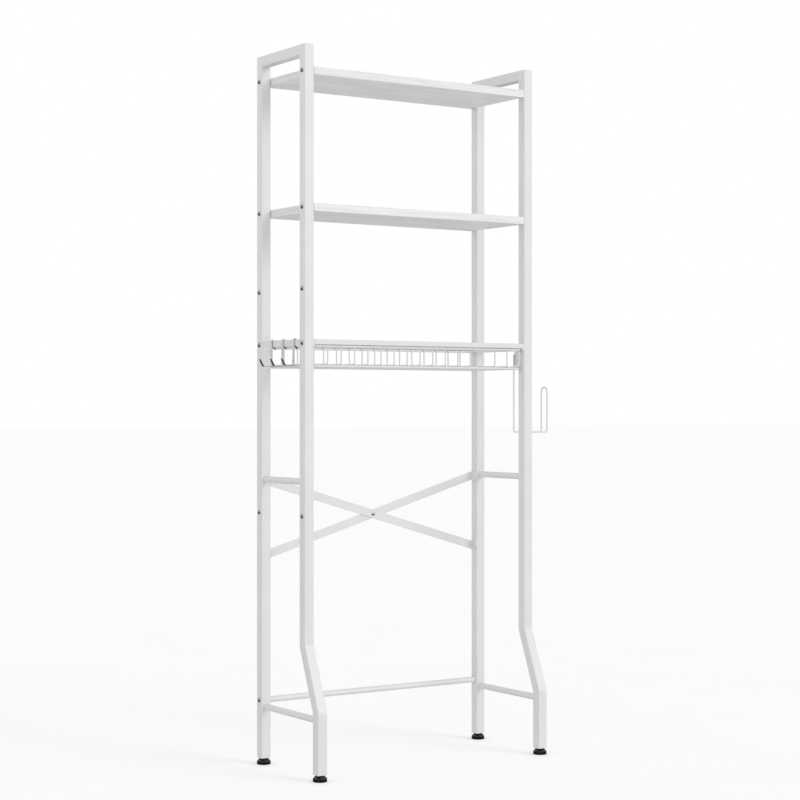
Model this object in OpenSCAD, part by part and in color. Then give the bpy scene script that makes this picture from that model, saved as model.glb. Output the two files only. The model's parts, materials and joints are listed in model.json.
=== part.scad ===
/* [Frame] */
// Height from the floor to the top of the top rails
overall_height = 1650; // [1550:10:1750]
// Width across the outer faces of the posts
frame_width = 640; // [560:5:720]
// Depth over the front and rear posts, above the leg bend
post_depth = 220; // [190:5:260]
// How far the front legs step forward below the bend
leg_kick = 58; // [30:1:80]
// Width of the square post tube
tube = 24; // [22:1:28]
// Wall of the post tube
tube_wall = 1.2; // [1:0.1:1.6]
// Height of the joint between the upper and the middle posts
upper_joint_z = 1198; // [1170:1:1230]
// Height of the joint between the middle posts and the legs
lower_joint_z = 686; // [680:1:720]
// Height at which the front legs start to step forward
bend_top_z = 298; // [270:1:330]
// Height at which the front legs are vertical again
bend_bottom_z = 156; // [150:1:200]

/* [Rails and braces] */
// Diameter of the round side rails
rail_d = 15; // [12:1:18]
// Centre height of the upper side rails
upper_rail_z = 665; // [630:1:670]
// Centre height of the lower side rails
lower_rail_z = 135; // [110:1:140]
// Diameter of the rear crossbar
crossbar_d = 14; // [12:1:16]
// Centre height of the rear crossbar
crossbar_z = 150; // [110:1:200]
// Width of the flat cross braces
brace_w = 20; // [15:1:25]
// Thickness of the flat cross braces
brace_t = 2.5; // [2:0.5:3]
// Height of the braces' upper ends
brace_high_z = 661; // [620:1:700]
// Height of the braces' lower ends
brace_low_z = 487; // [440:1:520]

/* [Shelves] */
// Thickness of the two boards
shelf_t = 18; // [15:1:22]
// Drop from the top of the frame to the top of the upper shelf
upper_shelf_drop = 50; // [40:5:80]
// Height of the middle shelf's top face
middle_shelf_z = 1293; // [1250:1:1330]

/* [Basket] */
// Height of the top of the basket's rails
basket_top_z = 986.5; // [960:0.5:1010]
// Width of the basket's square front and rear rails
basket_rail = 12; // [10:1:14]
// Diameter of the rim rods under the rails
rim_d = 6; // [5:0.5:7]
// Diameter of the rods of the basket's bottom frame
bottom_rod_d = 5; // [4:0.5:6]
// Diameter of the grid wires
wire_d = 3.5; // [3:0.25:4]
// Number of grid wires across the width
wire_count = 17; // [11:1:23]
// Height from the basket's lowest point to its top
basket_h = 63; // [55:1:90]

/* [Hooks and paper holder] */
// Height of the flat hook rail
hook_rail_h = 15; // [12:1:18]
// Thickness of the flat hook rail
hook_rail_t = 3; // [2:0.5:4]
// Width of each hook's strip
hook_w = 8; // [6:1:10]
// Thickness of the strip that hooks and bracket are bent from
strip_t = 1.8; // [1.5:0.1:2]
// Distance from the posts' front face to the middle hook
middle_hook_y = 98; // [90:1:110]
// Spacing of the three hooks
hook_pitch = 50; // [40:1:50]
// How far the hook tips stand out from the rail
hook_reach = 33; // [28:1:40]
// Overall height of a hook
hook_h = 63; // [55:1:75]
// Distance from the posts' front face to the middle of the paper holder
holder_y = 53; // [45:1:90]
// Width of the paper holder's bracket
holder_w = 25; // [20:1:30]
// Diameter of the paper holder's wire
holder_wire_d = 4; // [3:0.5:5]
// Distance from the posts' outer face to the holder's upright wires
holder_reach = 78; // [65:1:95]
// Centre height of the holder's bottom wires
holder_low_z = 772; // [740:1:800]
// Length of the holder's upright
holder_upright = 110; // [80:1:130]

/* [Feet and screws] */
// Clear height between the floor and the leg tubes
foot_h = 15; // [12:1:18]
// Diameter of the foot pads
foot_d = 32; // [28:1:36]
// Nominal thread diameter of the levelling studs
stud_d = 8; // [6:1:10]
// Nominal thread diameter of the screws
screw_d = 6; // [5:0.5:6]
// Diameter of the button heads
head_d = 10.5; // [9:0.5:12]

/* [Hidden] */

$fn = 48;
FRONT = 0;
REAR = 1;
LEFT = 0;
RIGHT = 1;
SIDES = [LEFT, RIGHT];
ROWS = [FRONT, REAR];

frame_white = [0.93, 0.93, 0.94];
board_white = [0.96, 0.96, 0.95];
steel = [0.72, 0.73, 0.75];
foot_black = [0.05, 0.05, 0.06];

// The model is laid out from the left, upper front, lower corner of the posts.
// Its bounding box is centred on the origin, hooks, holder and feet included.
corner_x = (hook_reach - frame_width - holder_reach - holder_wire_d / 2) / 2;
corner_y = (leg_kick - post_depth) / 2;

cap_t = 1.5;
inner_x = frame_width - tube;
row_y = [0, post_depth - tube];
post_axis_y = [tube / 2, post_depth - tube / 2];
foot_axis_y = [tube / 2 - leg_kick, post_depth - tube / 2];

upper_shelf_z = overall_height - upper_shelf_drop;
shelf_mid_z = [upper_shelf_z - shelf_t / 2, middle_shelf_z - shelf_t / 2];
shelf_gap = 0.3;

// Inner sleeves that join the post sections
sleeve_gap = 0.3;
sleeve_wall = 1.5;
sleeve_below = 112;
sleeve_above = 70;
joint_screw_drop = 98;
joint_z = [upper_joint_z, lower_joint_z];
joint_screw_z = [upper_joint_z - joint_screw_drop, lower_joint_z - joint_screw_drop];

basket_screw_z = basket_top_z - 9;
tab_t = 4;
tab_h = 16;
rim_z = basket_top_z - basket_rail - rim_d / 2;
rim_x = tube + tab_t + rim_d / 2;
rim_y = 1 + rim_d;
bottom_rod_z = basket_top_z - basket_h + bottom_rod_d / 2;
floor_wire_z = bottom_rod_z + (bottom_rod_d + wire_d) / 2;
grid_y = rim_y + (rim_d + wire_d) / 2;
wire_pitch = (frame_width - 2 * rim_x) / (wire_count - 1);

hook_rail_z = basket_top_z - hook_rail_h;
rail_clearance = 0.5;
bend_reach = 2.2;
holder_wire_gap = holder_w - 2.5;
holder_bend_r = 6;
bracket_h = 54;

brace_end_x = tube;
rivet_d = 5;
rivet_head_t = 1.5;
rivet_z = (brace_high_z + brace_low_z) / 2;
brace_angle = atan((brace_high_z - brace_low_z) / (frame_width - 2 * tube));
brace_height = brace_w / cos(brace_angle);
high_tab_slant = -3;
low_tab_slant = 7;

screw_hole_d = screw_d + 0.5;
thread_d = screw_d;
shank_d = screw_d - 0.1;
head_h = 3;
socket_af = 4;
insert_d = 9;
insert_l = 13;
shelf_screw_l = tube + 11;
joint_screw_l = tube_wall + sleeve_gap + sleeve_wall + 8;
basket_screw_l = tube + tab_t;
crossbar_screw_l = tube + 14;
plug_l = 20;

stud_gap = 0.05;
stud_top = foot_h + 24;
stud_low = 5;
leg_insert_h = 14;
pad_gap = 0.5;

// ---------------------------------------------------------------- helpers

module on_frame() translate([corner_x, corner_y, 0]) children();

// Draws its children on the left side, or mirrored on the right side
module on_side(side) {
    if (side == RIGHT) translate([frame_width, 0, 0]) mirror([1, 0, 0]) children();
    else children();
}

// Draws its children on the front half, or mirrored on the rear half
module on_row(row) {
    if (row == REAR) translate([0, post_depth, 0]) mirror([0, 1, 0]) children();
    else children();
}

module rod_x(d, x0, x1, y, z) translate([x0, y, z]) rotate([0, 90, 0]) cylinder(d = d, h = x1 - x0);
module rod_y(d, y0, y1, x, z) translate([x, y0, z]) rotate([-90, 0, 0]) cylinder(d = d, h = y1 - y0);
module rod_z(d, z0, z1, x, y) translate([x, y, z0]) cylinder(d = d, h = z1 - z0);

// A quarter bend of round wire, centred on the origin, from +X round to +Y
module wire_bend(d, r) rotate_extrude(angle = 90) translate([r, 0]) circle(d = d);

function unit(v) = v / norm(v);
function normal(v) = [-v[1], v[0]];

// The points of a short curve that rounds one corner of a path
function corner_curve(path, i, reach) =
    let (p = path[i], to_last = path[i - 1] - p, to_next = path[i + 1] - p)
    let (leg = min(reach, norm(to_last) * 0.45, norm(to_next) * 0.45))
    let (start = p + unit(to_last) * leg, end = p + unit(to_next) * leg)
    [for (s = [0 : 0.25 : 1]) (1 - s) * (1 - s) * start + 2 * s * (1 - s) * p + s * s * end];

function rounded(path, reach) = [
    path[0],
    for (i = [1 : len(path) - 2]) each corner_curve(path, i, reach),
    path[len(path) - 1]
];

// A point beside point i of a path, off to the left of it
function beside(path, i, off) =
    let (last = len(path) - 1, j = max(i, 1), k = min(i, last - 1))
    let (before = normal(unit(path[j] - path[j - 1])), after = normal(unit(path[k + 1] - path[k])))
    let (out = unit(before + after))
    path[i] + out * off / (out * before);

// A flat strip bent along a path in the X-Z plane, w wide along Y
module bent_strip(path, t, w) {
    line = rounded(path, bend_reach);
    count = len(line);
    translate([0, w / 2, 0]) rotate([90, 0, 0]) linear_extrude(w) polygon([
        for (i = [0 : count - 1]) beside(line, i, t / 2),
        for (i = [count - 1 : -1 : 0]) beside(line, i, -t / 2)
    ]);
}

// ---------------------------------------------------------------- frame

// One straight section of a post, with screw holes through it along X
module post(side, row, z_low, z_high, holes, capped = false) {
    bore = tube - 2 * tube_wall;
    bore_top = capped ? z_high - cap_t : z_high + 1;
    on_side(side) color(frame_white) difference() {
        translate([0, row_y[row], z_low]) cube([tube, tube, z_high - z_low]);
        translate([tube_wall, row_y[row] + tube_wall, z_low - 1]) cube([bore, bore, bore_top - z_low + 1]);
        for (z = holes) rod_x(screw_hole_d, -1, tube + 1, post_axis_y[row], z);
    }
}

module upper_post(side, row) post(side, row, upper_joint_z, overall_height, shelf_mid_z, true);

module middle_post(side, row)
    post(side, row, lower_joint_z, upper_joint_z, [basket_screw_z, joint_screw_z[0]]);

module rear_leg(side) post(side, REAR, foot_h, lower_joint_z, [crossbar_z, joint_screw_z[1]]);

// Side outline of the stepped front leg, inset by the wall for its bore
module leg_outline(inset, z_low, z_high) {
    step = atan(leg_kick / (bend_top_z - bend_bottom_z));
    front_y = inset;
    back_y = tube - inset;
    front_drop = front_y * tan(step / 2);
    back_drop = back_y * tan(step / 2);
    polygon([
        [front_y, z_high], [back_y, z_high],
        [back_y, bend_top_z - back_drop], [back_y - leg_kick, bend_bottom_z - back_drop],
        [back_y - leg_kick, z_low], [front_y - leg_kick, z_low],
        [front_y - leg_kick, bend_bottom_z - front_drop], [front_y, bend_top_z - front_drop]
    ]);
}

module front_leg(side) {
    on_side(side) color(frame_white) difference() {
        rotate([90, 0, 90]) linear_extrude(tube) leg_outline(0, foot_h, lower_joint_z);
        translate([tube_wall, 0, 0]) rotate([90, 0, 90])
            linear_extrude(tube - 2 * tube_wall) leg_outline(tube_wall, foot_h - 1, lower_joint_z + 1);
        rod_x(screw_hole_d, -1, tube + 1, post_axis_y[FRONT], joint_screw_z[1]);
    }
}

module top_rail(side) {
    bore = tube - 2 * tube_wall;
    on_side(side) color(frame_white) difference() {
        translate([0, tube, overall_height - tube]) cube([tube, post_depth - 2 * tube, tube]);
        translate([tube_wall, tube - 1, overall_height - tube + tube_wall])
            cube([bore, post_depth - 2 * tube + 2, bore]);
    }
}

// A round side rail between a front and a rear post
module round_rail(side, z, front_y) {
    back_y = post_depth - tube;
    on_side(side) color(frame_white) difference() {
        rod_y(rail_d, front_y, back_y, tube / 2, z);
        rod_y(rail_d - 2 * tube_wall, front_y - 1, back_y + 1, tube / 2, z);
    }
}

module side_rail(side) round_rail(side, upper_rail_z, tube);
module lower_rail(side) round_rail(side, lower_rail_z, tube - leg_kick);

module rear_crossbar() {
    color(frame_white) difference() {
        rod_x(crossbar_d, tube, inner_x, post_axis_y[REAR], crossbar_z);
        rod_x(crossbar_d - 2 * tube_wall, tube - 1, inner_x + 1, post_axis_y[REAR], crossbar_z);
    }
}

module crossbar_plugs() {
    for (side = SIDES) on_side(side) color(steel) difference() {
        rod_x(crossbar_d - 2 * tube_wall, tube, tube + plug_l, post_axis_y[REAR], crossbar_z);
        rod_x(thread_d, tube - 1, tube + plug_l + 1, post_axis_y[REAR], crossbar_z);
    }
}

// Flat brace that rises to the right, with a tab bent forward along each post
module cross_brace(layer) {
    back = post_depth - layer * brace_t;
    reach = post_depth - tube;
    half = brace_height / 2;
    color(frame_white) difference() {
        union() {
            translate([0, back, 0]) rotate([90, 0, 0]) linear_extrude(brace_t) polygon([
                [brace_end_x, brace_low_z - half], [inner_x, brace_high_z - half],
                [inner_x, brace_high_z + half], [brace_end_x, brace_low_z + half]
            ]);
            translate([brace_end_x, 0, 0]) brace_tab(brace_low_z, low_tab_slant, reach, back);
            translate([inner_x - brace_t, 0, 0]) brace_tab(brace_high_z, high_tab_slant, reach, back);
        }
        rod_y(rivet_d + 0.1, back - 2 * brace_t, back + 1, frame_width / 2, rivet_z);
    }
}

module brace_tab(z, slant, front, back) {
    half = brace_height / 2;
    rotate([90, 0, 90]) linear_extrude(brace_t) polygon([
        [back, z - half], [back, z + half], [front, z + half + slant], [front, z - half + slant]
    ]);
}

module cross_brace_rear() cross_brace(0);

module cross_brace_front() translate([frame_width, 0, 0]) mirror([1, 0, 0]) cross_brace(1);

module brace_rivet() {
    front = post_depth - 2 * brace_t;
    color(steel) union() {
        rod_y(rivet_d, front, post_depth, frame_width / 2, rivet_z);
        rod_y(rivet_d + 4, front - rivet_head_t, front, frame_width / 2, rivet_z);
        rod_y(rivet_d + 4, post_depth, post_depth + rivet_head_t, frame_width / 2, rivet_z);
    }
}

module sleeve(row, middle_z) {
    height = sleeve_below + sleeve_above;
    outer = tube - 2 * tube_wall - 2 * sleeve_gap;
    inset = tube_wall + sleeve_gap;
    bore = outer - 2 * sleeve_wall;
    difference() {
        translate([inset, row_y[row] + inset, middle_z - sleeve_below]) cube([outer, outer, height]);
        translate([inset + sleeve_wall, row_y[row] + inset + sleeve_wall, middle_z - sleeve_below - 1])
            cube([bore, bore, height + 2]);
        rod_x(thread_d, 0, tube / 2, post_axis_y[row], middle_z - joint_screw_drop);
    }
}

module post_sleeves() {
    for (z = joint_z) for (side = SIDES) for (row = ROWS) on_side(side) color(steel) sleeve(row, z);
}

// ---------------------------------------------------------------- shelves

module shelf(top_z) {
    color(board_white) difference() {
        translate([tube + shelf_gap, 0, top_z - shelf_t])
            cube([inner_x - tube - 2 * shelf_gap, post_depth, shelf_t]);
        for (side = SIDES) for (row = ROWS) on_side(side)
            rod_x(insert_d, tube, tube + shelf_gap + insert_l, post_axis_y[row], top_z - shelf_t / 2);
    }
}

module upper_shelf() shelf(upper_shelf_z);
module middle_shelf() shelf(middle_shelf_z);

module shelf_inserts() {
    start = tube + shelf_gap;
    for (z = shelf_mid_z) for (side = SIDES) for (row = ROWS) on_side(side) color(steel) difference() {
        rod_x(insert_d, start, start + insert_l, post_axis_y[row], z);
        rod_x(thread_d, start - 1, start + insert_l + 1, post_axis_y[row], z);
    }
}

// ---------------------------------------------------------------- basket

module basket_rail(row) {
    start = tube + tab_t;
    bore = basket_rail - 2 * tube_wall;
    on_row(row) color(frame_white) difference() {
        translate([start, 0, basket_top_z - basket_rail])
            cube([frame_width - 2 * start, basket_rail, basket_rail]);
        translate([start - 1, tube_wall, basket_top_z - basket_rail + tube_wall])
            cube([frame_width - 2 * start + 2, bore, bore]);
    }
}

module basket_front_rail() basket_rail(FRONT);
module basket_rear_rail() basket_rail(REAR);

// Threaded tabs that carry the basket on the posts' inner faces
module basket_tabs() {
    for (side = SIDES) for (row = ROWS) on_side(side) on_row(row) color(frame_white) difference() {
        translate([tube, 0, basket_screw_z - tab_h / 2]) cube([tab_t, tube - 1, tab_h]);
        rod_x(thread_d, tube - 1, tube + tab_t + 1, tube / 2, basket_screw_z);
    }
}

module basket_rim() {
    color(frame_white) {
        for (row = ROWS) on_row(row)
            rod_x(rim_d, rim_x - rim_d / 2, frame_width - rim_x + rim_d / 2, rim_y, rim_z);
        for (side = SIDES) on_side(side)
            rod_y(rim_d, rim_y + rim_d / 2, post_depth - rim_y - rim_d / 2, rim_x, rim_z);
    }
}

module basket_bottom_frame() {
    half = bottom_rod_d / 2;
    right_x = frame_width - rim_x;
    color(frame_white) {
        for (row = ROWS) on_row(row)
            rod_x(bottom_rod_d, rim_x - half, right_x + half, grid_y, bottom_rod_z);
        for (side = SIDES) on_side(side)
            rod_y(bottom_rod_d, grid_y + half, post_depth - grid_y - half, rim_x, bottom_rod_z);
        for (share = [1/3, 2/3])
            rod_x(bottom_rod_d, rim_x + half, right_x - half, share * post_depth, bottom_rod_z);
    }
}

function grid_x(i) = rim_x + i * wire_pitch;

// The outermost wires end under the rim's side rods, the others reach its top
function wire_top(i) = rim_z + (i == 0 || i == wire_count - 1 ? -rim_d / 2 : rim_d / 2);

module upright_wires(row) {
    for (i = [0 : wire_count - 1]) on_row(row) color(frame_white)
        rod_z(wire_d, floor_wire_z + wire_d / 2, wire_top(i), grid_x(i), grid_y);
}

module basket_front_wires() upright_wires(FRONT);
module basket_rear_wires() upright_wires(REAR);

module basket_floor_wires() {
    start = grid_y - wire_d / 2;
    for (i = [0 : wire_count - 1])
        color(frame_white) rod_y(wire_d, start, post_depth - start, grid_x(i), floor_wire_z);
}

// ---------------------------------------------------------------- hooks and holder

module hook_rail(side) {
    on_side(side) color(frame_white)
        translate([0, tube, hook_rail_z]) cube([hook_rail_t, post_depth - 2 * tube, hook_rail_h]);
}

// Centre lines of a strip that clips over the hook rail, measured from its outer face
strip_out = -rail_clearance - strip_t / 2;
strip_in = hook_rail_t + rail_clearance + strip_t / 2;
strip_top = basket_top_z + rail_clearance + strip_t / 2;

module hook(place) {
    low_z = strip_top - hook_h + strip_t;
    tip_x = -hook_reach + strip_t / 2;
    path = [
        [strip_in + 5, hook_rail_z - 6], [strip_in, hook_rail_z - 0.5], [strip_in, strip_top],
        [strip_out, strip_top], [strip_out, low_z + 3], [strip_out - 3, low_z],
        [tip_x + 11, low_z], [tip_x + 8, low_z + 2], [tip_x, low_z + 17]
    ];
    translate([0, middle_hook_y + place * hook_pitch, 0]) color(steel) bent_strip(path, strip_t, hook_w);
}

module rear_hook() hook(1);
module middle_hook() hook(0);
module front_hook() hook(-1);

module holder_bracket() {
    path = [
        [strip_out, strip_top - 10], [strip_out, strip_top],
        [strip_in, strip_top], [strip_in, strip_top - bracket_h]
    ];
    on_side(RIGHT) translate([0, holder_y, 0]) color(frame_white) bent_strip(path, strip_t, holder_w);
}

holder_wire_x = strip_in + (strip_t + holder_wire_d) / 2;
holder_wire_top = strip_top - 26;
holder_upright_top = holder_low_z + holder_upright;

// Places its children at both wires of the paper holder
module holder_pair() {
    for (offset = [-0.5, 0.5]) on_side(RIGHT)
        translate([0, holder_y + offset * holder_wire_gap, 0]) children();
}

module holder_drop_wires() {
    holder_pair() color(frame_white)
        rod_z(holder_wire_d, holder_low_z + holder_bend_r, holder_wire_top, holder_wire_x, 0);
}

module holder_arm_wires() {
    holder_pair() color(frame_white) union() {
        translate([holder_wire_x - holder_bend_r, 0, holder_low_z + holder_bend_r]) rotate([-90, 0, 0])
            wire_bend(holder_wire_d, holder_bend_r);
        rod_x(holder_wire_d, holder_bend_r - holder_reach, holder_wire_x - holder_bend_r, 0, holder_low_z);
        translate([holder_bend_r - holder_reach, 0, holder_low_z + holder_bend_r]) rotate([-90, 90, 0])
            wire_bend(holder_wire_d, holder_bend_r);
    }
}

// The uprights stand inside the roll and meet in a half round at the top
module holder_upright_wires() {
    bend_z = holder_upright_top - holder_wire_gap / 2;
    color(frame_white) union() {
        holder_pair() rod_z(holder_wire_d, holder_low_z + holder_bend_r, bend_z, -holder_reach, 0);
        on_side(RIGHT) translate([-holder_reach, holder_y, bend_z]) rotate([90, 0, 90])
            rotate_extrude(angle = 180) translate([holder_wire_gap / 2, 0]) circle(d = holder_wire_d);
    }
}

// ---------------------------------------------------------------- feet

// Threaded plugs pressed into the lower ends of the legs
module leg_inserts() {
    width = tube - 2 * tube_wall;
    for (side = SIDES) for (row = ROWS) on_side(side) color(foot_black) difference() {
        translate([(tube - width) / 2, foot_axis_y[row] - width / 2, foot_h])
            cube([width, width, leg_insert_h]);
        rod_z(stud_d, foot_h - 1, foot_h + leg_insert_h + 1, tube / 2, foot_axis_y[row]);
    }
}

module foot_stud(side, row) {
    on_side(side) color(steel)
        rod_z(stud_d - 2 * stud_gap, stud_low, stud_top, tube / 2, foot_axis_y[row]);
}

module foot_pad(side, row) {
    top = foot_h - pad_gap;
    on_side(side) translate([tube / 2, foot_axis_y[row], 0]) color(foot_black) difference() {
        rotate_extrude() polygon([
            [0, 0], [foot_d / 2 - 1, 0], [foot_d / 2, 1], [foot_d / 2, 7.5],
            [foot_d / 2 - 1, 9], [foot_d / 2 - 6, top], [0, top]
        ]);
        translate([0, 0, stud_low - 0.5]) cylinder(d = stud_d, h = foot_h);
    }
}

// ---------------------------------------------------------------- screws

// Button head screw along +X, its head's seat at x = 0
module button_screw(length) {
    color(steel) difference() {
        union() {
            rotate([0, 90, 0]) cylinder(d = shank_d, h = length);
            rotate([0, -90, 0]) rotate_extrude() polygon([
                [0, 0], [head_d / 2, 0], [head_d / 2, 0.8], [head_d / 2 - 1.6, head_h - 0.4],
                [head_d / 2 - 2.4, head_h], [0, head_h]
            ]);
        }
        translate([-head_h - 1, 0, 0]) rotate([0, 90, 0])
            cylinder(d = socket_af / cos(30), h = head_h, $fn = 6);
    }
}

module screws_at(heights, rows, length) {
    for (z = heights) for (side = SIDES) for (row = rows) on_side(side)
        translate([0, post_axis_y[row], z]) button_screw(length);
}

module shelf_screws() screws_at(shelf_mid_z, ROWS, shelf_screw_l);
module joint_screws() screws_at(joint_screw_z, ROWS, joint_screw_l);
module basket_screws() screws_at([basket_screw_z], ROWS, basket_screw_l);
module crossbar_screws() screws_at([crossbar_z], [REAR], crossbar_screw_l);

// ---------------------------------------------------------------- nodes

on_frame() upper_post(LEFT, FRONT);  // left_front_upper_post
on_frame() upper_post(LEFT, REAR);  // left_rear_upper_post
on_frame() upper_post(RIGHT, FRONT);  // right_front_upper_post
on_frame() upper_post(RIGHT, REAR);  // right_rear_upper_post
on_frame() top_rail(LEFT);  // left_top_rail
on_frame() top_rail(RIGHT);  // right_top_rail
on_frame() middle_post(LEFT, FRONT);  // left_front_middle_post
on_frame() middle_post(LEFT, REAR);  // left_rear_middle_post
on_frame() middle_post(RIGHT, FRONT);  // right_front_middle_post
on_frame() middle_post(RIGHT, REAR);  // right_rear_middle_post
on_frame() front_leg(LEFT);  // left_front_leg
on_frame() rear_leg(LEFT);  // left_rear_leg
on_frame() front_leg(RIGHT);  // right_front_leg
on_frame() rear_leg(RIGHT);  // right_rear_leg
on_frame() side_rail(LEFT);  // left_side_rail
on_frame() side_rail(RIGHT);  // right_side_rail
on_frame() lower_rail(LEFT);  // left_lower_rail
on_frame() lower_rail(RIGHT);  // right_lower_rail
on_frame() rear_crossbar();
on_frame() crossbar_plugs();
on_frame() cross_brace_front();
on_frame() cross_brace_rear();
on_frame() brace_rivet();
on_frame() post_sleeves();
on_frame() upper_shelf();
on_frame() middle_shelf();
on_frame() shelf_inserts();
on_frame() basket_front_rail();
on_frame() basket_rear_rail();
on_frame() basket_tabs();
on_frame() basket_rim();
on_frame() basket_bottom_frame();
on_frame() basket_front_wires();
on_frame() basket_floor_wires();
on_frame() basket_rear_wires();
on_frame() hook_rail(LEFT);  // left_hook_rail
on_frame() hook_rail(RIGHT);  // right_hook_rail
on_frame() rear_hook();
on_frame() middle_hook();
on_frame() front_hook();
on_frame() holder_bracket();
on_frame() holder_drop_wires();
on_frame() holder_arm_wires();
on_frame() holder_upright_wires();
on_frame() leg_inserts();
on_frame() foot_stud(LEFT, FRONT);  // left_front_foot_stud
on_frame() foot_pad(LEFT, FRONT);  // left_front_foot_pad
on_frame() foot_stud(LEFT, REAR);  // left_rear_foot_stud
on_frame() foot_pad(LEFT, REAR);  // left_rear_foot_pad
on_frame() foot_stud(RIGHT, FRONT);  // right_front_foot_stud
on_frame() foot_pad(RIGHT, FRONT);  // right_front_foot_pad
on_frame() foot_stud(RIGHT, REAR);  // right_rear_foot_stud
on_frame() foot_pad(RIGHT, REAR);  // right_rear_foot_pad
on_frame() shelf_screws();
on_frame() joint_screws();
on_frame() basket_screws();
on_frame() crossbar_screws();
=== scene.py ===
import json
import math

import bmesh
import bpy
from mathutils import Matrix, Vector, noise


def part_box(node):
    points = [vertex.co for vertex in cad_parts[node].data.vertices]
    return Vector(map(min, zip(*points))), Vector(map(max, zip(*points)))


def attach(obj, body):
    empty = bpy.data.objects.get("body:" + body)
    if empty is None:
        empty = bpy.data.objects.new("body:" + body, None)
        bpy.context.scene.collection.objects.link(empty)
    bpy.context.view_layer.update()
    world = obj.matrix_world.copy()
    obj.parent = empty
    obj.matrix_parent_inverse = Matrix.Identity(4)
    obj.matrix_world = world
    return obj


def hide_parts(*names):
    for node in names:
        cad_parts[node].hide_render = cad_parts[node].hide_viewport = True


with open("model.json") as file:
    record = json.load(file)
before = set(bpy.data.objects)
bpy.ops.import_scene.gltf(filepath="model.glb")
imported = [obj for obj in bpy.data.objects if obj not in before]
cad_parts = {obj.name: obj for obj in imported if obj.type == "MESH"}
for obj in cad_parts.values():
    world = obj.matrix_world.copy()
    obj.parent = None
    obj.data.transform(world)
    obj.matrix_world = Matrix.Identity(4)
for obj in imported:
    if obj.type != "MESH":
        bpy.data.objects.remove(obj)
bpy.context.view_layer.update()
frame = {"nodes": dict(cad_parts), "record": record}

MM = 0.001
X, Y, Z = Vector((1, 0, 0)), Vector((0, 1, 0)), Vector((0, 0, 1))
SIDES = ("left", "right")
ROWS = ("front", "rear")
FEET = [f"{side}_{row}" for side in SIDES for row in ROWS]

# The camera stands in front and to the left, level, about halfway up the rack.
CAMERA_PLACE = Vector((-2.532, -3.781, 0.8365))
CAMERA_YAW = math.radians(33.45)
CAMERA_LENS = 86.2
CAMERA_SHIFT = 0.0071
SENSOR_WIDTH = 36

# The stage: its floor and card reach this far each way, and one broad sun lights it
STAGE_REACH = 60
CARD_HEIGHT = -0.03
SUN_STRENGTH = 0.72
SUN_SPREAD = math.radians(30)
TO_SUN = Vector((0.38, -0.72, 0.36))
# Brightness of the surroundings by the height of the direction, from straight down to straight up
SURROUNDINGS = [(-1, 0.78), (-0.12, 0.78), (-0.02, 1.0), (0.35, 1.0), (0.8, 0.66), (1, 0.6)]

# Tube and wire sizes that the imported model's boxes don't give
TUBE_WALL = 1.2 * MM
TUBE_CORNER = 1.9 * MM
RAIL_CORNER = 1.6 * MM
TUBE_END = 0.5 * MM
LEG_FOOT_END = 0.4 * MM
FRAME_CORNER = 0.9 * MM
LEG_BEND = 34 * MM
LEG_BEND_TOP = 298 * MM
LEG_BEND_BOTTOM = 156 * MM
BRACE_THICKNESS = 2.5 * MM
BRACE_WIDTH = 20.85 * MM
BRACE_BEND = 4.5 * MM
BRACE_TAB_RISE = (7 * MM, -3 * MM)
RIVET_DOME = 1.5 * MM
RIVET_SHANK = 2.5 * MM
BOARD_EDGE = 0.9 * MM
BASKET_WIRES = 17
BASKET_TAB_DEPTH = 23 * MM
STRIP_THICKNESS = 1.8 * MM
STRIP_EDGE = 0.5 * MM
CLIP_GAP = 0.5 * MM
SCREW_HEAD = 5.25 * MM
WELD = 0.8 * MM


# ---------------------------------------------------------------- materials


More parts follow.
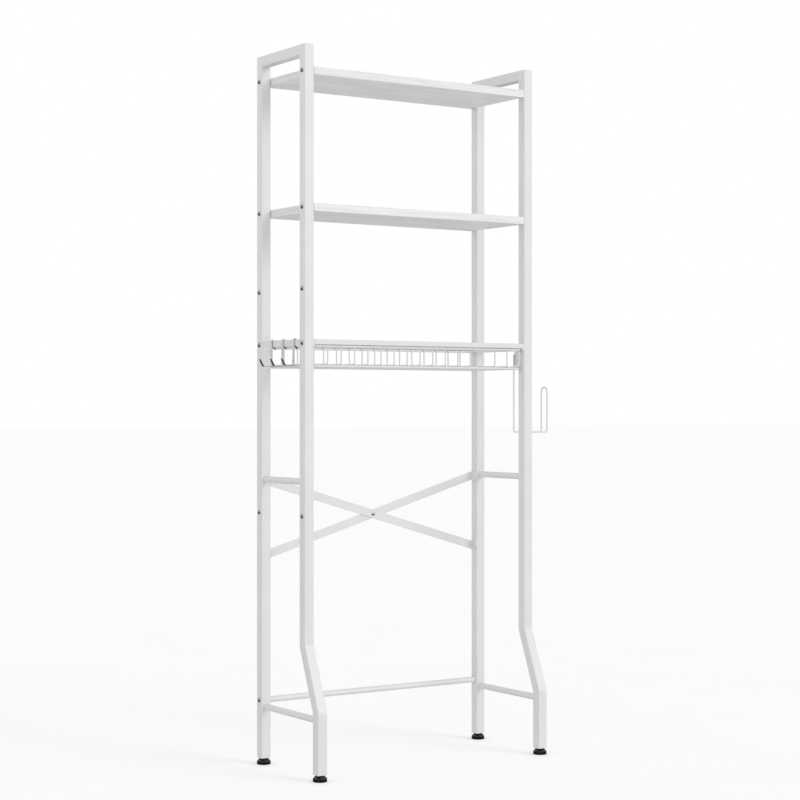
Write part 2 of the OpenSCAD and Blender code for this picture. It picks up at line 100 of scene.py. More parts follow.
class Shader:
    """A node material with one Principled shader, and short ways to add the nodes used here."""

    def __init__(self, name, **values):
        self.material = bpy.data.materials.new(name)
        self.material.use_nodes = True
        self.tree = self.material.node_tree
        self.bsdf = self.tree.nodes["Principled BSDF"]
        self.place = self.node("ShaderNodeTexCoord").outputs["Object"]
        for socket, value in values.items():
            self.bsdf.inputs[socket.replace("_", " ")].default_value = value

    def node(self, kind, **settings):
        made = self.tree.nodes.new(kind)
        for key, value in settings.items():
            setattr(made, key, value)
        return made

    def link(self, source, target):
        self.tree.links.new(source, target)

    def stretched(self, scale):
        """Object coordinates multiplied by scale on each axis."""
        mapping = self.node("ShaderNodeMapping")
        mapping.inputs["Scale"].default_value = scale
        self.link(self.place, mapping.inputs["Vector"])
        return mapping.outputs["Vector"]

    def noise(self, scale, detail=3.0, roughness=0.5, place=None, distortion=0.0):
        made = self.node("ShaderNodeTexNoise")
        made.inputs["Scale"].default_value = scale
        made.inputs["Detail"].default_value = detail
        made.inputs["Roughness"].default_value = roughness
        made.inputs["Distortion"].default_value = distortion
        self.link(place or self.place, made.inputs["Vector"])
        return made.outputs["Fac"]

    def ramp(self, factor, stops):
        made = self.node("ShaderNodeValToRGB")
        elements = made.color_ramp.elements
        for element, (position, colour) in zip(elements, (stops[0], stops[-1])):
            element.position = position
            element.color = (*colour, 1)
        for position, colour in stops[1:-1]:
            elements.new(position).color = (*colour, 1)
        self.link(factor, made.inputs["Fac"])
        return made.outputs["Color"]

    def between(self, factor, low, high):
        made = self.node("ShaderNodeMapRange")
        made.inputs["To Min"].default_value = low
        made.inputs["To Max"].default_value = high
        self.link(factor, made.inputs["Value"])
        return made.outputs["Result"]

    def sum(self, first, second, weight):
        made = self.node("ShaderNodeMath", operation="MULTIPLY_ADD")
        made.inputs[1].default_value = weight
        self.link(second, made.inputs[0])
        self.link(first, made.inputs[2])
        return made.outputs["Value"]

    def bump(self, height, distance, strength=1.0):
        made = self.node("ShaderNodeBump")
        made.inputs["Strength"].default_value = strength
        made.inputs["Distance"].default_value = distance
        self.link(height, made.inputs["Height"])
        self.link(made.outputs["Normal"], self.bsdf.inputs["Normal"])

    def colour(self, source):
        self.link(source, self.bsdf.inputs["Base Color"])

    def roughness(self, source):
        self.link(source, self.bsdf.inputs["Roughness"])


def grey(value, warmth=0.0):
    return (value * (1 + warmth), value, value * (1 - warmth))


def powder_coat():
    """White powder coat: a fine orange peel, and a very slight cloudiness in tone and gloss."""
    made = Shader("powder_coat", IOR=1.5, Coat_Weight=0.15, Coat_Roughness=0.25)
    cloud = made.noise(9, detail=4)
    made.colour(made.ramp(cloud, [(0.3, grey(0.725, -0.006)), (0.7, grey(0.76, -0.004))]))
    peel = made.noise(650, detail=2)
    grain = made.noise(2600, detail=1)
    made.roughness(made.between(made.noise(120, detail=3), 0.34, 0.46))
    made.bump(made.sum(peel, grain, 0.3), distance=0.00012, strength=0.55)
    return made.material


def wood_grain(name, along, light, dark):
    """White wood-grain foil: long fibres, broader figure and pores that run along one axis."""
    made = Shader(name, IOR=1.48, Specular_IOR_Level=0.08)
    stretch = [1.0 if axis == along else 24.0 for axis in range(3)]
    fibres = made.noise(7, detail=7, roughness=0.62, place=made.stretched(stretch), distortion=0.35)
    figure_stretch = [0.6 if axis == along else 7.0 for axis in range(3)]
    figure = made.noise(5, detail=3, place=made.stretched(figure_stretch), distortion=1.4)
    pore_stretch = [2.5 if axis == along else 120.0 for axis in range(3)]
    pores = made.noise(9, detail=2, place=made.stretched(pore_stretch))
    blend = made.sum(fibres, figure, 0.55)
    made.colour(made.ramp(made.between(blend, -0.35, 0.75), [
        (0.2, grey(dark, 0.004)), (0.45, grey((light + dark) / 2, 0.002)), (0.75, grey(light))]))
    made.roughness(made.between(fibres, 0.42, 0.58))
    made.bump(made.sum(fibres, pores, 0.8), distance=0.00022, strength=0.5)
    return made.material


def brushed_metal(name, tone, rough, along):
    """Bare or plated steel with fine drawing lines along one axis."""
    made = Shader(name, Metallic=1.0)
    stretch = [1.0 if axis == along else 40.0 for axis in range(3)]
    lines = made.noise(60, detail=4, place=made.stretched(stretch))
    made.colour(made.ramp(made.noise(40, detail=3), [(0.3, grey(tone * 0.93)), (0.7, grey(tone))]))
    made.roughness(made.between(lines, rough * 0.8, rough * 1.3))
    made.bump(lines, distance=0.00003, strength=0.4)
    return made.material


def plastic(name, tone, rough, texture):
    """Moulded black plastic."""
    made = Shader(name, IOR=1.46, Coat_Weight=0.1, Coat_Roughness=0.1)
    made.colour(made.ramp(made.noise(60), [(0.3, grey(tone * 0.8)), (0.7, grey(tone * 1.2))]))
    made.roughness(made.between(made.noise(220, detail=4), rough * 0.8, rough * 1.25))
    made.bump(made.noise(1400, detail=2), distance=texture)
    return made.material


POWDER = powder_coat()
BOARD_FACE = wood_grain("board_foil", 0, 0.87, 0.71)
BOARD_END = wood_grain("board_end_band", 1, 0.84, 0.68)
CHROME = brushed_metal("chrome_plate", 0.60, 0.17, 2)
STEEL = brushed_metal("zinc_steel", 0.45, 0.24, 0)
BLACK_GLOSS = plastic("black_gloss_plastic", 0.006, 0.16, 0.00003)
BLACK_MATT = plastic("black_matt_plastic", 0.03, 0.5, 0.0001)

SLOT_MATERIAL = {
    "powder_coat": POWDER,
    "shelf_board": BOARD_FACE,
    "hook_steel": CHROME,
    "fixing_steel": STEEL,
    "foot_plastic": BLACK_GLOSS,
    "plug_plastic": BLACK_MATT,
}


# ---------------------------------------------------------------- outlines


def rounded_rectangle(width, height, corner, steps=4):
    """A function from an inset to the points (u, v) of a rounded rectangle's outline."""

    def outline(inset_u=0.0, inset_v=0.0):
        half_u, half_v = width / 2 - inset_u, height / 2 - inset_v
        radius = max(min(corner - max(inset_u, inset_v), half_u, half_v), 0.02 * MM)
        points = []
        for quarter in range(4):
            centre_u = (half_u - radius) * (1 if quarter in (0, 3) else -1)
            centre_v = (half_v - radius) * (1 if quarter in (0, 1) else -1)
            for step in range(steps + 1):
                angle = (quarter + step / steps) * math.pi / 2
                points.append((centre_u + radius * math.cos(angle),
                               centre_v + radius * math.sin(angle)))
        return points

    return outline


def turned_end(radius, steps=3):
    """Rings (distance, inset_u, inset_v) that round an end's whole edge."""
    angles = [math.pi / 2 * step / steps for step in range(steps)]
    insets = [radius * (1 - math.sin(a)) for a in angles]
    return [(radius * (1 - math.cos(a)), inset, inset) for a, inset in zip(angles, insets)]


def snipped_end(radius, edge, steps=5):
    """Rings that round an end's corners in the width, and its edges a little."""
    rings = []
    for step in range(steps):
        a = math.pi / 2 * step / steps
        share = 1 if step == 0 else 0
        inset_u = radius * (1 - math.sin(a)) + edge * share
        rings.append((radius * (1 - math.cos(a)), inset_u, edge * share))
    return rings


def filleted(path, radius, steps=6):
    """The path with each inner corner replaced by an arc."""
    points = [path[0]]
    for before, corner, after in zip(path, path[1:], path[2:]):
        points += corner_arc(before, corner, after, radius, steps)
    return points + [path[-1]]


def filleted_loop(path, radius, steps=6):
    points = []
    for i, corner in enumerate(path):
        points += corner_arc(path[i - 1], corner, path[(i + 1) % len(path)], radius, steps)
    return points


def corner_arc(before, corner, after, radius, steps):
    back, on = before - corner, after - corner
    half = back.angle(on) / 2
    leg = min(radius / math.tan(half), back.length * 0.49, on.length * 0.49)
    radius = leg * math.tan(half)
    back, on = back.normalized(), on.normalized()
    centre = corner + (back + on).normalized() * radius / math.sin(half)
    start = (corner + back * leg - centre).normalized()
    end = (corner + on * leg - centre).normalized()
    return [centre + start.slerp(end, step / steps) * radius for step in range(steps + 1)]


# ---------------------------------------------------------------- mesh builder


class Piece:
    """Collects bars, rods and turned shapes in one mesh, then makes the object."""

    def __init__(self, name):
        self.name = name
        self.mesh = bmesh.new()

    def skin(self, rings, loop=False):
        """Joins rings of points with quads, and closes the ends unless the rings form a loop."""
        made = [[self.mesh.verts.new(point) for point in ring] for ring in rings]
        pairs = list(zip(made, made[1:]))
        if loop:
            pairs.append((made[-1], made[0]))
        count = len(made[0])
        for low, high in pairs:
            for i in range(count):
                j = (i + 1) % count
                self.mesh.faces.new((low[i], low[j], high[j], high[i]))
        if not loop:
            self.mesh.faces.new(list(reversed(made[0])))
            self.mesh.faces.new(made[-1])

    def bar(self, path, up, outline, start=(), end=(), wall=0.0):
        """Sweeps an outline along a path. Its u runs along up, and its v across the path.
        With a wall it is a tube, open at both ends."""
        spans = [self.across(a, b, up) for a, b in zip(path, path[1:])]
        rings, bore = [], []
        last = len(path) - 1
        for i, point in enumerate(path):
            before, after = spans[max(i - 1, 0)], spans[min(i, last - 1)]
            out = (before + after).normalized()
            out = out / out.dot(before)
            bore.append(self.ring(point, up, out, outline(wall, wall)))
            if i == 0:
                ahead = (path[1] - path[0]).normalized()
                for distance, inset_u, inset_v in start or [(0, 0, 0)]:
                    inset = outline(inset_u, inset_v)
                    rings.append(self.ring(point + ahead * distance, up, out, inset))
                if start:
                    rings.append(self.ring(point + ahead * self.depth(start), up, out, outline()))
            elif i == last:
                ahead = (path[-1] - path[-2]).normalized()
                if end:
                    rings.append(self.ring(point - ahead * self.depth(end), up, out, outline()))
                for distance, inset_u, inset_v in reversed(end or [(0, 0, 0)]):
                    inset = outline(inset_u, inset_v)
                    rings.append(self.ring(point - ahead * distance, up, out, inset))
            else:
                rings.append(self.ring(point, up, out, outline()))
        if wall:
            self.skin([*rings, *reversed(bore)], loop=True)
        else:
            self.skin(rings)

    @staticmethod
    def depth(end):
        """How far a rounded end reaches along the bar."""
        return 2 * end[-1][0] - end[-2][0] + 0.05 * MM

    @staticmethod
    def across(a, b, up):
        return (b - a).cross(up).normalized()

    @staticmethod
    def ring(point, up, out, outline):
        return [point + up * u + out * v for u, v in outline]

    def rod(self, path, radius, sides=14, loop=False, edge=0.4 * MM, ripple=0.0):
        """A round rod or bead along any path, with its ends' edges eased."""
        count = len(path)
        tangents = []
        for i in range(count):
            before = path[i - 1] if (i or loop) else path[0]
            after = path[(i + 1) % count] if (i < count - 1 or loop) else path[-1]
            tangents.append((after - before).normalized())
        side = tangents[0].orthogonal().normalized()
        rings = []
        for i, point in enumerate(path):
            if i:
                side = tangents[i - 1].rotation_difference(tangents[i]) @ side
            other = tangents[i].cross(side)
            size = radius * (1 + ripple * noise.noise(point * 900))
            rings.append((point, side.copy(), other, size))

        def ring(point, side, other, size):
            angles = [2 * math.pi * k / sides for k in range(sides)]
            return [point + side * (size * math.cos(a)) + other * (size * math.sin(a))
                    for a in angles]

        made = [ring(*r) for r in rings]
        if not loop:
            first, last = rings[0], rings[-1]
            made.insert(1, ring(first[0] + tangents[0] * edge, *first[1:]))
            made[0] = ring(first[0], first[1], first[2], radius - edge)
            made.insert(-1, ring(last[0] - tangents[-1] * edge, *last[1:]))
            made[-1] = ring(last[0], last[1], last[2], radius - edge)
        self.skin(made, loop=loop)

    def block(self, low, high, bevel, segments=2):
        """A plate or board between two corners, with its edges rounded."""
        size, centre = high - low, (low + high) / 2
        place = Matrix.Translation(centre) @ Matrix.Diagonal((*size, 1))
        verts = bmesh.ops.create_cube(self.mesh, size=1, matrix=place)["verts"]
        edges = list(dict.fromkeys(edge for vert in verts for edge in vert.link_edges))
        bmesh.ops.bevel(self.mesh, geom=edges, offset=bevel, segments=segments,
                        affect="EDGES", profile=0.5)

    def turned(self, centre, axis, profile, sides=32, radius_at=None):
        """Turns a profile of (distance along axis, radius) round an axis.
        radius_at may reshape a ring."""
        side = axis.orthogonal().normalized()
        other = axis.cross(side)
        rings = []
        for row, (distance, radius) in enumerate(profile):
            ring = []
            for k in range(sides):
                angle = 2 * math.pi * k / sides
                reach = radius_at(row, radius, angle) if radius_at else radius
                ring.append(centre + axis * distance + side * (reach * math.cos(angle))
                            + other * (reach * math.sin(angle)))
            rings.append(ring)
        self.skin(rings)

    def weld(self, centre, axis, radius, sides=36):
        """A rippled weld bead round a rod where it meets a flat face."""
        side = axis.orthogonal().normalized()
        other = axis.cross(side)
        angles = [2 * math.pi * k / sides for k in range(sides)]
        path = [centre + side * (radius * math.cos(a)) + other * (radius * math.sin(a))
                for a in angles]
        self.rod(path, WELD, sides=8, loop=True, ripple=0.35)

    def fix_face_order(self):
        """Orders the faces by their corners, since a bevel may list them differently each run."""
        self.mesh.verts.index_update()
        count = len(self.mesh.verts)

        def place(face):
            first, second, third = sorted(vert.index for vert in face.verts)[:3]
            return (first * count + second) * count + third

        self.mesh.faces.sort(key=place)

    def finish(self, body, material, replaces=(), crease=35):
        """Makes the object: smooth where it is round, sharp where it isn't, riding on its body."""
        bmesh.ops.recalc_face_normals(self.mesh, faces=self.mesh.faces)
        self.fix_face_order()
        data = bpy.data.meshes.new(self.name)
        self.mesh.to_mesh(data)
        self.mesh.free()
        data.materials.append(material)
        data.polygons.foreach_set("use_smooth", [True] * len(data.polygons))
        data.set_sharp_from_angle(angle=math.radians(crease))
        made = bpy.data.objects.new(self.name, data)
        bpy.context.scene.collection.objects.link(made)
        weighted = made.modifiers.new("even_shading", "WEIGHTED_NORMAL")
        weighted.keep_sharp = True
        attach(made, body)
        if replaces:
            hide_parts(*replaces)
        return made


# ---------------------------------------------------------------- frame


def middle(node):
    low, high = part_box(node)
    return (low + high) / 2


def upper_frames():
    """The posts and the top rail of each side, welded and ground flush at mitred corners."""
    for side in SIDES:
        front_low, front_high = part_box(f"{side}_front_upper_post")
        rear_low, rear_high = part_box(f"{side}_rear_upper_post")
        width = front_high.x - front_low.x
        centre_x = (front_low.x + front_high.x) / 2
        front_y, rear_y = (front_low.y + front_high.y) / 2, (rear_low.y + rear_high.y) / 2
        top = front_high.z - width / 2
        path = [Vector((centre_x, front_y, front_low.z)), Vector((centre_x, front_y, top)),
                Vector((centre_x, rear_y, top)), Vector((centre_x, rear_y, front_low.z))]
        piece = Piece(f"{side}_upper_frame")
        joint = turned_end(TUBE_END)
        piece.bar(path, X, rounded_rectangle(width, width, TUBE_CORNER),
                  start=joint, end=joint, wall=TUBE_WALL)
        made = piece.finish("frame", POWDER, replaces=[
            f"{side}_front_upper_post", f"{side}_rear_upper_post", f"{side}_top_rail"])
        soften(made, FRAME_CORNER)


def soften(made, width):
    """Rounds a piece's hard edges, before its shading is evened out."""
    bevel = made.modifiers.new("soft_edges", "BEVEL")
    bevel.width = width
    bevel.segments = 3
    bevel.limit_method = "ANGLE"
    bevel.angle_limit = math.radians(50)
    made.modifiers.move(1, 0)


def middle_posts():
    for foot in FEET:
        node = f"{foot}_middle_post"
        low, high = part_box(node)
        centre = (low + high) / 2
        piece = Piece(f"{foot}_mid_tube")
        joint = turned_end(TUBE_END)
        width = high.x - low.x
        path = [Vector((centre.x, centre.y, low.z)), Vector((centre.x, centre.y, high.z))]
        piece.bar(path, X, rounded_rectangle(width, width, TUBE_CORNER),
                  start=joint, end=joint, wall=TUBE_WALL)
        piece.finish("frame", POWDER, replaces=[node])


def legs():
    """Straight rear legs, and front legs that step forward between their two bends."""
    for side in SIDES:
        for row in ROWS:
            node = f"{side}_{row}_leg"
            low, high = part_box(node)
            width = high.x - low.x
            centre_x = (low.x + high.x) / 2
            top_y, foot_y = high.y - width / 2, low.y + width / 2
            path = [Vector((centre_x, foot_y, low.z)), Vector((centre_x, top_y, high.z))]
            if row == "front":
                slope = math.atan((top_y - foot_y) / (LEG_BEND_TOP - LEG_BEND_BOTTOM))
                drop = width / 2 * math.tan(slope / 2)
                bends = [Vector((centre_x, foot_y, LEG_BEND_BOTTOM - drop)),
                         Vector((centre_x, top_y, LEG_BEND_TOP - drop))]
                path = filleted([path[0], *bends, path[1]], LEG_BEND, steps=8)
            piece = Piece(f"{side}_{row}_leg_tube")
            piece.bar(path, X, rounded_rectangle(width, width, TUBE_CORNER),
                      start=turned_end(LEG_FOOT_END), end=turned_end(TUBE_END), wall=TUBE_WALL)
            piece.finish("frame", POWDER, replaces=[node])


def round_rails():
    """Round rails between front and rear, each with a weld bead at its ends."""
    for side in SIDES:
        for node in (f"{side}_side_rail", f"{side}_lower_rail"):
            low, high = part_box(node)
            centre = (low + high) / 2
            radius = (high.z - low.z) / 2
            ends = [Vector((centre.x, y, centre.z)) for y in (low.y, high.y)]
            piece = Piece(f"{node}_tube")
            piece.rod(ends, radius, sides=32, edge=0.1 * MM)
            for end in ends:
                piece.weld(end, Y, radius + 0.2 * MM)
            piece.finish("frame", POWDER, replaces=[node])


def rear_bar():
    low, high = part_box("rear_crossbar")
    centre = (low + high) / 2
    piece = Piece("rear_crossbar_tube")
    ends = [Vector((x, centre.y, centre.z)) for x in (low.x, high.x)]
    piece.rod(ends, (high.z - low.z) / 2, sides=32, edge=0.6 * MM)
    piece.finish("frame", POWDER, replaces=["rear_crossbar"])


def cross_braces():
    """Two flat bars whose ends bend forward along the posts' inner faces."""
    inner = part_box("rear_crossbar")
    front_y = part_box("left_rear_leg")[0].y
    thick, height = BRACE_THICKNESS, BRACE_WIDTH
    for node, low_side in (("cross_brace_rear", "left"), ("cross_brace_front", "right")):
        low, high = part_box(node)
        back_y = high.y - thick / 2
        ends_x = [inner[0].x + thick / 2, inner[1].x - thick / 2]
        if low_side == "right":
            ends_x.reverse()
        low_z, high_z = low.z + height / 2, high.z - height / 2
        path = [
            Vector((ends_x[0], front_y, low_z + BRACE_TAB_RISE[0])),
            Vector((ends_x[0], back_y, low_z)),
            Vector((ends_x[1], back_y, high_z)),
            Vector((ends_x[1], front_y, high_z + BRACE_TAB_RISE[1]))]
        piece = Piece(f"{node}_bar")
        ends = snipped_end(5 * MM, 0.3 * MM)
        outline = rounded_rectangle(height, thick, 0.7 * MM, steps=3)
        piece.bar(filleted(path, BRACE_BEND, steps=7), Z, outline, start=ends, end=ends)
        piece.finish("frame", POWDER, replaces=[node])
    brace_rivet()


def brace_rivet():
    """The rivet that joins the two bars, with a domed head on each face."""
    low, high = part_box("brace_rivet")
    centre = (low + high) / 2
    radius = (high.z - low.z) / 2
    piece = Piece("brace_rivet_dome")
    angles = (0.08, 0.35, 0.7, 1.05, 1.4, math.pi / 2)
    dome = [(math.cos(a) * RIVET_DOME, math.sin(a) * radius) for a in angles]
    half = (high.y - low.y) / 2
    profile = [(half - RIVET_DOME + d, r) for d, r in dome]
    other_head = [(-d, r) for d, r in reversed(profile)]
    piece.turned(centre, Y, [*profile, (1.0 * MM, RIVET_SHANK), *other_head])
    piece.finish("frame", STEEL, replaces=["brace_rivet"])


# ---------------------------------------------------------------- boards


def boards():
    """Boards in white foil, with separate bands on their two ends."""
    for node in ("upper_shelf", "middle_shelf"):
        low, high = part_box(node)
        piece = Piece(f"{node}_board")
        piece.block(low, high, BOARD_EDGE, segments=3)
        made = piece.finish("frame", BOARD_FACE, replaces=[node])
        made.data.materials.append(BOARD_END)
        for polygon in made.data.polygons:
            if abs(polygon.normal.x) > 0.9:
                polygon.material_index = 1


# ---------------------------------------------------------------- basket


def basket():
    for row in ROWS:
        node = f"basket_{row}_rail"
        low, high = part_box(node)
        centre = (low + high) / 2
        piece = Piece(f"{node}_tube")
        outline = rounded_rectangle(high.y - low.y, high.z - low.z, RAIL_CORNER)
        path = [Vector((x, centre.y, centre.z)) for x in (low.x, high.x)]
        piece.bar(path, Y, outline)
        piece.finish("frame", POWDER, replaces=[node])
    basket_tabs()
    basket_rods()
    basket_wires()


def basket_tabs():
    low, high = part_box("basket_tabs")
    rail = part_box("basket_front_rail")
    thick, depth = rail[0].x - low.x, BASKET_TAB_DEPTH
    piece = Piece("basket_tab_plates")
    for x in (low.x, high.x - thick):
        for y in (low.y, high.y - depth):
            far_corner = Vector((x + thick, y + depth, high.z))
            piece.block(Vector((x, y, low.z)), far_corner, 0.8 * MM)
    piece.finish("frame", POWDER, replaces=["basket_tabs"])


def basket_rods():
    """Closed rod frames under the rails and round the floor, and two rods under the floor."""
    names = {"basket_rim": "basket_rim_loop", "basket_bottom_frame": "basket_bottom_loop"}
    for node, name in names.items():
        low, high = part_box(node)
        radius = (high.z - low.z) / 2
        z = (low.z + high.z) / 2
        corners = [Vector((x, y, z)) for x, y in (
            (low.x + radius, low.y + radius), (high.x - radius, low.y + radius),
            (high.x - radius, high.y - radius), (low.x + radius, high.y - radius))]
        piece = Piece(name)
        piece.rod(filleted_loop(corners, 5 * MM), radius, sides=18, loop=True)
        if node == "basket_bottom_frame":
            post_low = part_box("left_front_upper_post")[0].y
            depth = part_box("left_rear_upper_post")[1].y - post_low
            for share in (1 / 3, 2 / 3):
                y = post_low + depth * share
                ends = [Vector((low.x + radius * 1.5, y, z)), Vector((high.x - radius * 1.5, y, z))]
                piece.rod(ends, radius, sides=18)
        piece.finish("frame", POWDER, replaces=[node])


def basket_wires():
    """The grid: each wire goes down the front, under the goods and up the back in one piece."""
    count = BASKET_WIRES
    floor_low, floor_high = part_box("basket_floor_wires")
    front_low, front_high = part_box("basket_front_wires")
    rear_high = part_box("basket_rear_wires")[1]
    rim_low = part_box("basket_rim")[0].z
    radius = (front_high.y - front_low.y) / 2
    pitch = (floor_high.x - floor_low.x - 2 * radius) / (count - 1)
    z = (floor_low.z + floor_high.z) / 2
    piece = Piece("basket_grid_wires")
    for i in range(count):
        x = floor_low.x + radius + i * pitch
        top = rim_low if i in (0, count - 1) else front_high.z - 0.5 * MM
        front_y, rear_y = front_low.y + radius, rear_high.y - radius
        path = [Vector((x, front_y, top)), Vector((x, front_y, z)),
                Vector((x, rear_y, z)), Vector((x, rear_y, top))]
        piece.rod(filleted(path, 5.5 * MM, steps=7), radius, sides=14, edge=0.5 * MM)
    piece.finish("frame", POWDER, replaces=[
        "basket_front_wires", "basket_floor_wires", "basket_rear_wires"])


# ---------------------------------------------------------------- hooks and holder


def hook_rails():
    """Flat rails with eased edges, welded between the posts."""
    for side in SIDES:
        node = f"{side}_hook_rail"
        low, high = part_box(node)
        piece = Piece(f"{node}_flat")
        piece.block(low, high, 0.5 * MM)
        inner_x = high.x if side == "left" else low.x
        for y in (low.y, high.y):
            ends = [Vector((inner_x, y, low.z + 1.5 * MM)), Vector((inner_x, y, high.z - 1.5 * MM))]
            bead = [ends[0].lerp(ends[1], step / 10) for step in range(11)]
            piece.rod(bead, 1.0 * MM, sides=8, ripple=0.3)
        piece.finish("frame", POWDER, replaces=[node])


def hooks():
    """Plated strips that clip over the left rail and turn up at the tip."""
    rail_low, rail_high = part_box("left_hook_rail")
    thick, gap = STRIP_THICKNESS, CLIP_GAP
    for node in ("rear_hook", "middle_hook", "front_hook"):
        low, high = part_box(node)
        y = (low.y + high.y) / 2
        out_x, in_x = rail_low.x - gap - thick / 2, rail_high.x + gap + thick / 2
        top_z, low_z = high.z - thick / 2, low.z + thick / 2
        tip_x = low.x + 0.8 * MM
        shape = [
            (in_x + 5 * MM, rail_low.z - 6 * MM), (in_x, rail_low.z - 0.5 * MM), (in_x, top_z),
            (out_x, top_z), (out_x, low_z + 3 * MM), (out_x - 3 * MM, low_z),
            (tip_x + 11 * MM, low_z), (tip_x + 8 * MM, low_z + 2 * MM), (tip_x, low_z + 17 * MM)]
        path = filleted([Vector((x, y, z)) for x, z in shape], 2.6 * MM, steps=6)
        piece = Piece(f"{node}_strip")
        ends = snipped_end(2.2 * MM, 0.3 * MM)
        outline = rounded_rectangle(high.y - low.y, thick, STRIP_EDGE, steps=3)
        piece.bar(path, Y, outline, start=ends, end=ends)
        piece.finish(node, CHROME, replaces=[node])


def paper_holder():
    holder_plate()
    holder_wires()


def holder_plate():
    """The plate that clips over the right rail."""
    rail_low, rail_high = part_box("right_hook_rail")
    low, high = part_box("holder_bracket")
    thick, gap = STRIP_THICKNESS, CLIP_GAP
    y = (low.y + high.y) / 2
    out_x, in_x = rail_high.x + gap + thick / 2, rail_low.x - gap - thick / 2
    top_z = high.z - thick / 2
    shape = [(out_x, top_z - 10 * MM), (out_x, top_z), (in_x, top_z), (in_x, low.z)]
    path = filleted([Vector((x, y, z)) for x, z in shape], 2.4 * MM, steps=6)
    piece = Piece("holder_bracket_plate")
    ends = snipped_end(3.5 * MM, 0.3 * MM)
    outline = rounded_rectangle(high.y - low.y, thick, STRIP_EDGE, steps=3)
    piece.bar(path, Y, outline, start=ends, end=ends)
    piece.finish("paper_holder", POWDER, replaces=["holder_bracket"])


def holder_wires():
    """The holder's wire: down from the plate, out under the roll, and up inside it and back."""
    plate_low, plate_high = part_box("holder_bracket")
    y = (plate_low.y + plate_high.y) / 2
    drop_low, drop_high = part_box("holder_drop_wires")
    arm_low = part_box("holder_arm_wires")[0]
    up_low, up_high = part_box("holder_upright_wires")
    radius = (drop_high.x - drop_low.x) / 2
    bend = 6 * MM
    drop_x, up_x = (drop_low.x + drop_high.x) / 2, (up_low.x + up_high.x) / 2
    low_z = arm_low.z + radius
    y_pair = (drop_low.y + radius, drop_high.y - radius)
    loop_radius = (y_pair[1] - y_pair[0]) / 2
    loop_z = up_high.z - radius - loop_radius
    loop = [Vector((up_x, y - loop_radius * math.cos(a), loop_z + loop_radius * math.sin(a)))
            for a in [math.pi * step / 16 for step in range(17)]]
    halves = []
    for wire_y in y_pair:
        run = [Vector((drop_x, wire_y, drop_high.z)), Vector((drop_x, wire_y, low_z)),
               Vector((up_x, wire_y, low_z)), Vector((up_x, wire_y, loop_z - 5 * MM))]
        halves.append(filleted(run, bend, steps=8))
    piece = Piece("holder_wire_form")
    piece.rod([*halves[0], *loop, *reversed(halves[1])], radius, sides=18)
    for wire_y in y_pair:
        for drop in (6 * MM, 20 * MM):
            spot = Vector((drop_x + radius * 0.6, wire_y, drop_high.z - drop))
            piece.weld(spot, Z, 1.2 * MM, sides=16)
    piece.finish("paper_holder", POWDER, replaces=[
        "holder_drop_wires", "holder_arm_wires", "holder_upright_wires"])


# ---------------------------------------------------------------- feet


def feet():
    for foot in FEET:
        foot_pad(foot)
        foot_stud(foot)


def foot_pad(foot):
    """A black pad with a flat base, a soft edge and eight shallow finger scallops."""
    node = f"{foot}_foot_pad"
    low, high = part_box(node)
    centre = (low + high) / 2
    radius = (high.x - low.x) / 2
    height = high.z - low.z
    bore = 4.2 * MM
    profile = [
        (0.6 * MM, bore * 0.5), (0, radius * 0.62), (0, radius - 1.6 * MM),
        (0.35 * MM, radius - 0.7 * MM), (1.0 * MM, radius - 0.15 * MM), (2.0 * MM, radius),
        (7.4 * MM, radius), (8.3 * MM, radius - 0.3 * MM), (9.1 * MM, radius - 1.1 * MM),
        (11.2 * MM, radius - 3.2 * MM), (height - 1.5 * MM, radius - 4.9 * MM),
        (height - 0.5 * MM, radius - 5.7 * MM), (height, radius - 6.8 * MM),
        (height, bore + 0.6 * MM),
        (height - 0.5 * MM, bore), (height - 8 * MM, bore)]
    gripped = range(7, 13)

    def scalloped(row, ring_radius, angle):
        if row not in gripped:
            return ring_radius
        wave = (1 + math.cos(8 * angle)) / 2
        return ring_radius - 0.8 * MM * wave ** 3

    piece = Piece(f"{foot}_pad_moulding")
    piece.turned(Vector((centre.x, centre.y, low.z)), Z, profile, sides=96, radius_at=scalloped)
    piece.finish(f"{foot}_pad", BLACK_GLOSS, replaces=[node], crease=60)


def foot_stud(foot):
    """A levelling stud with a cut thread."""
    node = f"{foot}_foot_stud"
    low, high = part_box(node)
    centre = (low + high) / 2
    radius = (high.x - low.x) / 2
    pitch, depth = 1.25 * MM, 0.55 * MM
    rows_per_turn, sides = 8, 24
    rows = int((high.z - low.z) / pitch * rows_per_turn)
    rings = []
    for row in range(rows + 1):
        z = low.z + (high.z - low.z) * row / rows
        ring = []
        for k in range(sides):
            angle = 2 * math.pi * k / sides
            phase = ((z - low.z) / pitch - k / sides) % 1
            groove = depth * max(0.0, 1 - abs(phase - 0.5) * 2.6)
            ring.append(Vector((centre.x + (radius - groove) * math.cos(angle),
                                centre.y + (radius - groove) * math.sin(angle), z)))
        rings.append(ring)
    piece = Piece(f"{foot}_stud_thread")
    piece.skin(rings)
    piece.finish(f"{foot}_stud", STEEL, replaces=[node], crease=50)


# ---------------------------------------------------------------- screws


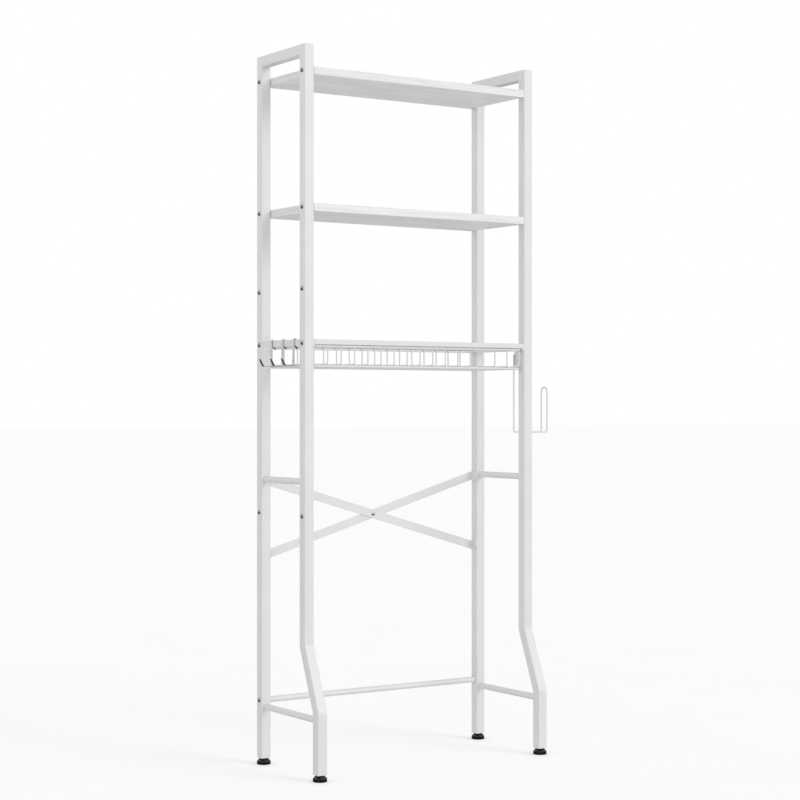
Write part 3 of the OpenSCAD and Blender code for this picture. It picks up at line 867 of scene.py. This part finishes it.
def button_screw(piece, seat, axis):
    """A button-head screw with a hexagon socket. Its head stands out along axis from its seat."""
    head, height, shank, length = SCREW_HEAD, 3.0 * MM, 2.9 * MM, 6 * MM
    socket, socket_depth, rim = 2.0 * MM, 1.9 * MM, 0.6 * MM
    low, high, steps = math.radians(12), math.radians(62), 7
    dome_height = (height - rim) / (math.sin(high) - math.sin(low))
    profile = [(-length, shank), (0, shank), (0, head - 0.2 * MM), (0.15 * MM, head)]
    for step in range(steps + 1):
        angle = low + (high - low) * step / steps
        profile.append((rim + dome_height * (math.sin(angle) - math.sin(low)),
                        head * math.cos(angle) / math.cos(low)))
    hexagons = (len(profile), len(profile) + 1)
    profile += [(height - 0.25 * MM, socket), (height - socket_depth, socket),
                (height - socket_depth - 0.5 * MM, socket * 0.3)]

    def hexagonal(row, radius, angle):
        if row not in hexagons:
            return radius
        return radius / math.cos((angle % (math.pi / 3)) - math.pi / 6)

    piece.turned(seat, axis, profile, sides=36, radius_at=hexagonal)


def screws():
    """Every screw stands on the outer face of a post."""
    left_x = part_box("left_front_upper_post")[0].x
    right_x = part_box("right_front_upper_post")[1].x
    row_y = {row: middle(f"left_{row}_upper_post").y for row in ROWS}
    joint_low, joint_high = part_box("joint_screws")
    groups = {
        "shelf_screws": (ROWS, [middle("upper_shelf").z, middle("middle_shelf").z]),
        "joint_screws": (ROWS, [joint_low.z + SCREW_HEAD, joint_high.z - SCREW_HEAD]),
        "basket_screws": (ROWS, [middle("basket_tabs").z]),
        "crossbar_screws": (("rear",), [middle("rear_crossbar").z]),
    }
    for node, (rows, heights) in groups.items():
        piece = Piece(f"{node}_set")
        for z in heights:
            for row in rows:
                button_screw(piece, Vector((left_x, row_y[row], z)), -X)
                button_screw(piece, Vector((right_x, row_y[row], z)), X)
        piece.finish("frame", STEEL, replaces=[node])


# ---------------------------------------------------------------- stage


def stage():
    stage_floor()
    ground_card()
    studio_walls()
    key_light()
    camera()


def level_sheet(name):
    """One large flat square at floor level."""
    reach = STAGE_REACH
    data = bpy.data.meshes.new(name)
    corners = [(-reach, -reach, 0), (reach, -reach, 0), (reach, reach, 0), (-reach, reach, 0)]
    data.from_pydata(corners, [], [(0, 1, 2, 3)])
    sheet = bpy.data.objects.new(name, data)
    bpy.context.scene.collection.objects.link(sheet)
    return sheet


def stage_floor():
    """A pale floor. It takes shadows, but throws no light up under the object."""
    floor = level_sheet("floor")
    floor.visible_diffuse = floor.visible_glossy = floor.visible_shadow = False
    look = Shader("floor_paint", Roughness=0.9, Specular_IOR_Level=0.1,
                  Emission_Color=(1, 1, 1, 1), Emission_Strength=0.20)
    look.colour(look.ramp(look.noise(3, detail=2), [(0.3, grey(0.885)), (0.7, grey(0.895))]))
    floor.data.materials.append(look.material)


def ground_card():
    """A dark card under the floor, which only reflections see. It gives metal and gloss depth."""
    card = level_sheet("ground_card")
    card.location.z = CARD_HEIGHT
    card.visible_camera = card.visible_diffuse = card.visible_shadow = False
    look = Shader("card_paint", Roughness=1.0,
                  Emission_Color=(1, 1, 1, 1), Emission_Strength=0.03)
    look.colour(look.ramp(look.noise(3, detail=2), [(0.3, grey(0.03)), (0.7, grey(0.04))]))
    card.data.materials.append(look.material)


def studio_walls():
    """White walls. A dimmer ceiling and a dimmer ground give the undersides their shade."""
    world = bpy.data.worlds.new("studio")
    world.use_nodes = True
    tree = world.node_tree
    direction = tree.nodes.new("ShaderNodeTexCoord")
    split = tree.nodes.new("ShaderNodeSeparateXYZ")
    height = tree.nodes.new("ShaderNodeMapRange")
    height.inputs["From Min"].default_value = -1
    shade = tree.nodes.new("ShaderNodeValToRGB")
    tree.links.new(direction.outputs["Generated"], split.inputs["Vector"])
    tree.links.new(split.outputs["Z"], height.inputs["Value"])
    tree.links.new(height.outputs["Result"], shade.inputs["Fac"])
    tree.links.new(shade.outputs["Color"], tree.nodes["Background"].inputs["Color"])
    elements = shade.color_ramp.elements
    elements.remove(elements[1])
    elements[0].position = 0
    elements[0].color = (*grey(SURROUNDINGS[0][1]), 1)
    for z, level in SURROUNDINGS[1:]:
        elements.new((z + 1) / 2).color = (*grey(level), 1)
    bpy.context.scene.world = world
    bpy.context.scene.view_settings.view_transform = "Standard"


def key_light():
    """One broad soft light from in front, a little to the right."""
    data = bpy.data.lights.new("key", "SUN")
    data.energy = SUN_STRENGTH
    data.angle = SUN_SPREAD
    key = bpy.data.objects.new("key", data)
    bpy.context.scene.collection.objects.link(key)
    key.rotation_euler = TO_SUN.to_track_quat("Z", "Y").to_euler()


def camera():
    data = bpy.data.cameras.new("camera")
    data.lens = CAMERA_LENS
    data.sensor_width = SENSOR_WIDTH
    data.shift_y = CAMERA_SHIFT
    made = bpy.data.objects.new("camera", data)
    bpy.context.scene.collection.objects.link(made)
    made.location = CAMERA_PLACE
    made.rotation_euler = (math.pi / 2, 0, -CAMERA_YAW)
    bpy.context.scene.camera = made


# ---------------------------------------------------------------- build


def carried_over():
    """The CAD nodes that stay in view take their slot's finish."""
    for row in frame["record"]["subparts"]:
        node = frame["nodes"][row["node"]]
        node.data.materials.clear()
        node.data.materials.append(SLOT_MATERIAL[row["material_slot"]])


carried_over()
upper_frames()
middle_posts()
legs()
round_rails()
rear_bar()
cross_braces()
boards()
basket()
hook_rails()
hooks()
paper_holder()
feet()
screws()
stage()
